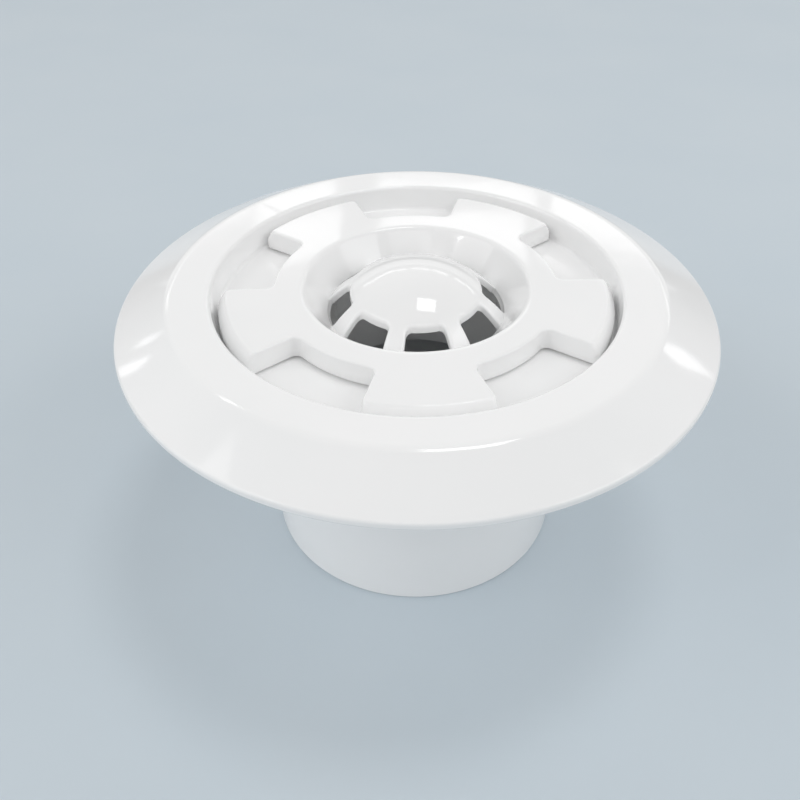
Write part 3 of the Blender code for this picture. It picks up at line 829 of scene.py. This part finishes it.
def near_slot(x, y, margin, outer_margin):
    """True within these margins of a slot's sides and of its outer edge, corners ignored."""
    radius = math.hypot(x, y)
    if not SLOT_INNER - margin < radius < SLOT_OUTER + outer_margin:
        return False
    turn = (math.atan2(y, x) - slot_angle(0) + TURN / SLOT_COUNT / 2.0) % (TURN / SLOT_COUNT)
    return abs(turn - TURN / SLOT_COUNT / 2.0) < SLOT_HALF_ANGLE + margin / radius


def spread(start, stop, step):
    count = max(1, round((stop - start) / step))
    return list(np.linspace(start, stop, count + 1))


def wheel_upper_face(bm):
    """Dome, ribs, bowl and rim in one sheet, with the slots' and the lobes' edges rounded over."""
    steps = edge_steps(SLOT_EDGE)
    slots = []
    for index in range(SLOT_COUNT):
        rows = [loop(bm, slot_outline(index, offset), lambda r, drop=drop: wheel_face(r) - drop)
                for offset, drop in steps]
        for upper, lower in zip(rows, rows[1:]):
            wall(bm, upper, lower)
        slots.append(slot_outline(index, SLOT_EDGE))
    rows = []
    for offset, drop in edge_steps(WHEEL_EDGE):
        outline = wheel_outline(lobe_end_radius(WHEEL_TOP - drop), WALL_DRAFT + offset)
        rows.append(loop(bm, outline, WHEEL_TOP - drop))
    for upper, lower in zip(rows, rows[1:]):
        wall(bm, upper, lower)
    edge = WALL_DRAFT + WHEEL_EDGE
    flat = wheel_outline(LOBE_TOP_RADIUS, edge + FLAT_MARGIN)
    # Rings of points, closest together at the bowl's foot and at its rim
    radii = (spread(1.0, SLOT_INNER - 1.0, 0.9) + spread(SLOT_INNER - 0.4, SLOT_OUTER - 1.2, 0.6)
             + spread(SLOT_OUTER - 1.0, SLOT_OUTER + 0.8, 0.15)
             + spread(SLOT_OUTER + 1.2, BOWL_RADIUS - 0.6, 0.7)
             + spread(BOWL_RADIUS - 0.4, BOWL_RADIUS + 0.4, 0.08) + [BOWL_RADIUS + 1.2])
    rings = [circle(r, 60 if r < 5.0 else 120 if r < 12.0 else FINE) for r in radii]
    boundaries = [(outline, wheel_face) for outline in [wheel_outline(LOBE_TOP_RADIUS, edge)] + slots]
    margin, outer_margin = SLOT_EDGE + SLOT_CLEARANCE, SLOT_OUTER_EDGE + SLOT_CLEARANCE
    sheet(bm, boundaries, rings + [flat, [(0.0, 0.0)]], wheel_face,
          blocked=lambda x, y: near_slot(x, y, margin, outer_margin))


def wheel_lower_face(bm):
    """Underside with the hollows under the lobes, the hub's foot and the inside of the dome."""
    underside = wheel_outline(LOBE_RADIUS, WHEEL_FOOT_ROUND)
    pockets = []
    for index in range(LOBE_COUNT):
        half_angle = LOBE_HALF_ANGLE - POCKET_WALL / NOTCH_RADIUS
        outline = rounded_sector(NOTCH_RADIUS, LOBE_TOP_RADIUS - POCKET_WALL, half_angle,
                                 (POCKET_CORNER, POCKET_CORNER), lobe_angle(index), density=0.7)
        pockets.append(outline)
        roof = loop(bm, outline, POCKET_ROOF)
        wall(bm, loop(bm, outline, WHEEL_UNDERSIDE), roof)
        bm.faces.new(roof)
    outlines = [underside, circle(HUB_RADIUS)] + pockets
    sheet(bm, [(outline, lambda r: WHEEL_UNDERSIDE) for outline in outlines], [], wheel_face)
    wall(bm, loop(bm, circle(HUB_RADIUS), WHEEL_UNDERSIDE), loop(bm, circle(HUB_RADIUS), HUB_FOOT))
    slots = [(slot_outline(index, 0.0, SLOT_LEAN), dome_hollow) for index in range(SLOT_COUNT)]
    hollow = DOME_RADIUS - DOME_WALL
    rim = math.sqrt(hollow ** 2 - (HUB_FOOT - DOME_TOP + DOME_RADIUS) ** 2)
    radii = spread(1.5, SLOT_INNER - 0.5, 1.2) + spread(SLOT_INNER + 0.3, rim, 0.7)
    rings = [circle(r, HIDDEN) for r in radii]
    sheet(bm, [(circle(HUB_RADIUS), lambda r: HUB_FOOT)] + slots, rings + [[(0.0, 0.0)]], dome_hollow,
          blocked=lambda x, y: near_slot(x, y, SLOT_CLEARANCE, SLOT_CLEARANCE))


def wheel_walls(bm):
    """The lobed outer wall with its draft, and the walls of the slots."""
    shoulder = WHEEL_TOP - WHEEL_EDGE
    levels = [(WALL_DRAFT, shoulder), (WALL_DRAFT * 0.6, LOBE_CHAMFER_FOOT + 0.25),
              (WALL_DRAFT * 0.5, LOBE_CHAMFER_FOOT - 0.15), (0.0, WHEEL_UNDERSIDE + WHEEL_FOOT_ROUND),
              (0.1, WHEEL_UNDERSIDE + 0.1), (WHEEL_FOOT_ROUND, WHEEL_UNDERSIDE)]
    rows = [loop(bm, wheel_outline(lobe_end_radius(z), inset), z) for inset, z in levels]
    for upper, lower in zip(rows, rows[1:]):
        wall(bm, upper, lower)
    for index in range(SLOT_COUNT):
        upper = loop(bm, slot_outline(index, 0.0), lambda r: wheel_face(r) - SLOT_EDGE)
        wall(bm, upper, loop(bm, slot_outline(index, 0.0, SLOT_LEAN), dome_hollow))


def regulating_wheel(mat):
    bm = bmesh.new()
    wheel_upper_face(bm)
    wheel_lower_face(bm)
    wheel_walls(bm)
    wheel = make_object("wheel_moulding", bm, WHEEL_SHARP_ANGLE)
    return dress(wheel, "regulating_wheel", "wheel", mat)


def threaded_sleeve(mat):
    top = SLEEVE_HIGH.z
    ledge = SLEEVE_HIGH.x
    groove_top = STOP_HIGH.z + GAP
    groove_foot = STOP_LOW.z - GAP
    groove_radius = HUB_RADIUS - STOP_GROOVE_DEPTH
    outline = rounded([
        (SLEEVE_BORE, top, 0.2),
        (ledge, top, 0.15),
        (ledge, top - SLEEVE_LEDGE, 0.15),
        (HUB_RADIUS, top - SLEEVE_LEDGE - SLEEVE_CHAMFER, 0.2),
        (HUB_RADIUS, groove_top, 0.1),
        (groove_radius, groove_top, 0.15),
        (groove_radius, groove_foot, 0.15),
        (HUB_RADIUS, groove_foot, 0.1),
        (HUB_RADIUS - SLEEVE_LEAD_IN, SLEEVE_LOW.z, 0.2),
        (SLEEVE_BORE, SLEEVE_LOW.z, 0.3),
    ], step=math.radians(30.0))
    sleeve = turned("sleeve_moulding", outline, MEDIUM)
    low, high = PORT_HEIGHTS
    half_width = HUB_RADIUS * math.sin(PORT_HALF_ANGLE)
    port = rounded([(low, -half_width, PORT_CORNER), (high, -half_width, PORT_CORNER),
                    (high, half_width, PORT_CORNER), (low, half_width, PORT_CORNER)])
    lay_flat = Matrix(((0, 0, 1, 0), (0, 1, 0, 0), (1, 0, 0, 0), (0, 0, 0, 1)))
    inwards, outwards = PORT_CUT
    bm = bmesh.new()
    for i in range(PORT_COUNT):
        around = Matrix.Rotation(TURN * i / PORT_COUNT, 4, 'Z')
        prism(bm, port, SLEEVE_BORE - inwards, HUB_RADIUS + outwards, around @ lay_flat)
    combine(sleeve, make_object("ports", bm), 'DIFFERENCE')
    between_ridges = BUSH_LOW.z + THREAD_PITCH / 2.0
    ridge = helix_tool("male_ridge", HUB_RADIUS, HUB_RADIUS + THREAD_DEPTH, THREAD_PITCH,
                       (THREAD_ROOT_WIDTH, THREAD_CREST_WIDTH), SLEEVE_THREAD, between_ridges)
    combine(sleeve, ridge, 'UNION')
    return dress(sleeve, "threaded_sleeve", "wheel", mat)


def plug_oring(mat):
    radius = (ORING_HIGH.z - ORING_LOW.z) / 2.0
    centre = (ORING_HIGH.x - radius, (ORING_HIGH.z + ORING_LOW.z) / 2.0)
    section = arc(centre, radius, 0.0, TURN, ORING_STEPS)[:-1]
    return dress(turned("oring", section, MEDIUM), "plug_oring", "lift", mat)


def stop_ring(mat):
    inner = HUB_RADIUS - STOP_GROOVE_DEPTH + GAP
    half_angle = math.pi - STOP_OPENING / 2.0
    middle = front_angle(math.pi)
    outline = (arc((0, 0), STOP_HIGH.y, middle - half_angle, middle + half_angle, MEDIUM)
               + arc((0, 0), inner, middle + half_angle, middle - half_angle, MEDIUM))
    bm = bmesh.new()
    prism(bm, outline, STOP_LOW.z, STOP_HIGH.z)
    ring = make_object("split_ring", bm)
    soften = ring.modifiers.new("soften", 'BEVEL')
    soften.width = STOP_EDGE * MM
    soften.segments = 3
    soften.limit_method = 'ANGLE'
    return dress(ring, "stop_ring", "wheel", mat)


# ---------------------------------------------------------------- studio

# Brightness of the room, and the heights (sines of the elevation) between which it changes
SKY_HORIZON = 0.22
SKY_WALLS = 0.84
SKY_CEILING = 0.30
SKY_LEVELS = (0.10, 0.55, 0.95)

# A broken strip of light behind the fitting: middles and widths of its parts, 1 m away
STRIP_SEGMENTS = ((-0.685, 0.11), (-0.425, 0.39), (-0.165, 0.11), (0.05, 0.21), (0.28, 0.205),
                  (0.57, 0.16), (0.78, 0.22))
STRIP_HEIGHT = 0.56
STRIP_DISTANCE = 1.5
STRIP_WIDTH = 0.12
STRIP_RADIANCE = 1.55

TOP_CENTRE = (0.0, 0.0, 0.069)   # of the fitting, in metres
FLOOR_HALF_SIDE = 20.0

CAMERA_PLACE = (0.0005, -0.1654, 0.1733)
CAMERA_PITCH = math.radians(40.34)
CAMERA_YAW = math.radians(-1.13)
CAMERA_ROLL = math.radians(0.65)
CAMERA_LENS = 38.4
CAMERA_SENSOR = 36.0


def camera():
    data = bpy.data.cameras.new("camera")
    data.sensor_width = CAMERA_SENSOR
    data.lens = CAMERA_LENS
    data.clip_start = 0.01
    obj = bpy.data.objects.new("camera", data)
    bpy.context.scene.collection.objects.link(obj)
    ahead = Vector((0.0, math.cos(CAMERA_PITCH), -math.sin(CAMERA_PITCH)))
    right = Vector((1.0, 0.0, 0.0))
    up = Vector((0.0, math.sin(CAMERA_PITCH), math.cos(CAMERA_PITCH)))
    aim = ahead * math.cos(CAMERA_YAW) + right * math.sin(CAMERA_YAW)
    side = right * math.cos(CAMERA_YAW) - ahead * math.sin(CAMERA_YAW)
    rolled_side = side * math.cos(CAMERA_ROLL) + up * math.sin(CAMERA_ROLL)
    rolled_up = up * math.cos(CAMERA_ROLL) - side * math.sin(CAMERA_ROLL)
    pose = Matrix((rolled_side, rolled_up, -aim)).transposed().to_4x4()
    pose.translation = CAMERA_PLACE
    obj.matrix_world = pose
    bpy.context.scene.camera = obj


def area_light(name, direction, distance, size, radiance, seen_from=TOP_CENTRE, level=False):
    """A rectangle lit to a given radiance, in a direction from a point, facing it or straight down."""
    data = bpy.data.lights.new(name, 'AREA')
    data.shape = 'RECTANGLE'
    data.size, data.size_y = size
    data.energy = radiance * math.pi * size[0] * size[1]
    obj = bpy.data.objects.new(name, data)
    bpy.context.scene.collection.objects.link(obj)
    toward = Vector(direction).normalized()
    obj.location = Vector(seen_from) + toward * distance
    if not level:
        obj.rotation_euler = (-toward).to_track_quat('-Z', 'Y').to_euler()
    return obj


def light_only(lamp, piece):
    """Let a lamp reach one piece and nothing else."""
    group = bpy.data.collections.new(lamp.name)
    group.objects.link(piece)
    lamp.light_linking.receiver_collection = group


def sky(scene):
    """A white room: brightest halfway up its walls, dimmer at the floor and at the ceiling."""
    world = bpy.data.worlds.new("room")
    world.use_nodes = True
    tree = world.node_tree
    background = tree.nodes["Background"]
    background.inputs["Color"].default_value = (1.0, 1.0, 1.0, 1.0)
    direction = tree.nodes.new("ShaderNodeTexCoord")
    split = tree.nodes.new("ShaderNodeSeparateXYZ")
    tree.links.new(direction.outputs["Generated"], split.inputs["Vector"])
    foot, middle, top = SKY_LEVELS
    walls = remap(tree, split.outputs["Z"], SKY_HORIZON, SKY_WALLS, foot, middle)
    ceiling = remap(tree, split.outputs["Z"], 0.0, SKY_CEILING - SKY_WALLS, middle, top)
    total = tree.nodes.new("ShaderNodeMath")
    total.operation = 'ADD'
    tree.links.new(walls, total.inputs[0])
    tree.links.new(ceiling, total.inputs[1])
    tree.links.new(total.outputs[0], background.inputs["Strength"])
    scene.world = world


def on_fitting(radius, azimuth, height):
    """A point in metres on the fitting, azimuth in degrees counted from the front."""
    return polar(radius, front_angle(math.radians(azimuth)), height) * MM


def room_lights():
    """Large soft boxes that light the whole fitting."""
    area_light("ceiling_panel", (0.163, 0.16, 0.973), 1.4, (0.40, 0.37), 6.0, level=True)
    area_light("left_wall", (-1.0, -0.30, 0.05), 1.5, (1.2, 0.4), 1.9)
    area_light("left_box", (-0.75, -0.25, 0.60), 1.4, (0.85, 0.85), 1.25)
    area_light("right_box", (0.80, -0.25, 0.55), 1.4, (0.85, 0.85), 1.4)
    area_light("front_box", (0.10, -0.70, 0.70), 1.4, (0.9, 0.4), 1.0)
    area_light("back_wall", (0.0, 1.0, 0.24), 1.8, (2.8, 0.45), 0.6)
    for middle, width in STRIP_SEGMENTS:
        direction = Vector((middle, 1.0, STRIP_HEIGHT))
        distance = direction.length * STRIP_DISTANCE
        size = (width * STRIP_DISTANCE, STRIP_WIDTH)
        area_light("back_strip", direction, distance, size, STRIP_RADIANCE)


def highlight_lamps(flange):
    """Small lamps, each placed where one glossy spot on the fitting mirrors it to the camera."""
    bowl = on_fitting(24.6, 153.0, 67.0)
    ridge = on_fitting(56.4, -39.4, 68.0)
    right_skirt = on_fitting(61.9, 65.5, 66.0)
    left_skirt = on_fitting(63.4, -65.5, 65.0)
    far_left_skirt = on_fitting(59.2, -70.5, 66.0)
    area_light("bowl_lamp", (-0.581, -0.422, 0.696), 1.3, (0.09, 0.03), 11.0, bowl)
    ridge_lamp = area_light("ridge_lamp", (-0.425, 0.490, 0.761), 1.4, (0.34, 0.06), 5.0, ridge)
    light_only(ridge_lamp, flange)
    area_light("right_lamp", (0.730, 0.560, 0.391), 1.4, (0.09, 0.11), 2.6, right_skirt)
    area_light("left_lamp", (-0.756, 0.539, 0.371), 1.4, (0.05, 0.09), 3.2, left_skirt)
    area_light("far_left_lamp", (-0.720, 0.611, 0.328), 1.4, (0.04, 0.05), 2.6, far_left_skirt)


def floor_sheet():
    """A pale plain floor, wide enough to reach the horizon in low views."""
    bm = bmesh.new()
    bmesh.ops.create_grid(bm, x_segments=1, y_segments=1, size=FLOOR_HALF_SIDE)
    mesh = bpy.data.meshes.new("floor")
    bm.to_mesh(mesh)
    bm.free()
    floor = bpy.data.objects.new("floor", mesh)
    bpy.context.scene.collection.objects.link(floor)
    mat, tree, shader = new_material("floor_paper", 0.8)
    mottle = remap(tree, noise(tree, 14.0, 4.0), 0.0, 1.0)
    colour = tint(tree, mottle, (0.61, 0.68, 0.73), (0.59, 0.665, 0.72))
    tree.links.new(colour, shader.inputs["Base Color"])
    bump(tree, shader, [(noise(tree, 1500.0, 2.0), 0.10, 0.00005)])
    mesh.materials.append(mat)


def studio(flange):
    bpy.context.scene.view_settings.view_transform = 'Standard'
    sky(bpy.context.scene)
    room_lights()
    highlight_lamps(flange)
    floor_sheet()


# ---------------------------------------------------------------- assembly

white_socket = white_abs("socket_abs", gloss=(0.16, 0.24), ripple=0.10)
white_flange = white_abs("flange_abs", gloss=(0.06, 0.10), ripple=0.06)
white_wheel = white_abs("wheel_abs", gloss=(0.05, 0.09), ripple=0.015)
acetal = natural_acetal("acetal")
rubber = black_rubber("epdm")
steel = stainless_steel("stainless")

camera()
pipe_socket(white_socket)
flange = face_flange(white_flange)
flange_gasket(rubber)
thread_bush(acetal)
flange_screws(steel)
regulating_wheel(white_wheel)
threaded_sleeve(white_socket)
plug_oring(rubber)
stop_ring(acetal)
studio(flange)
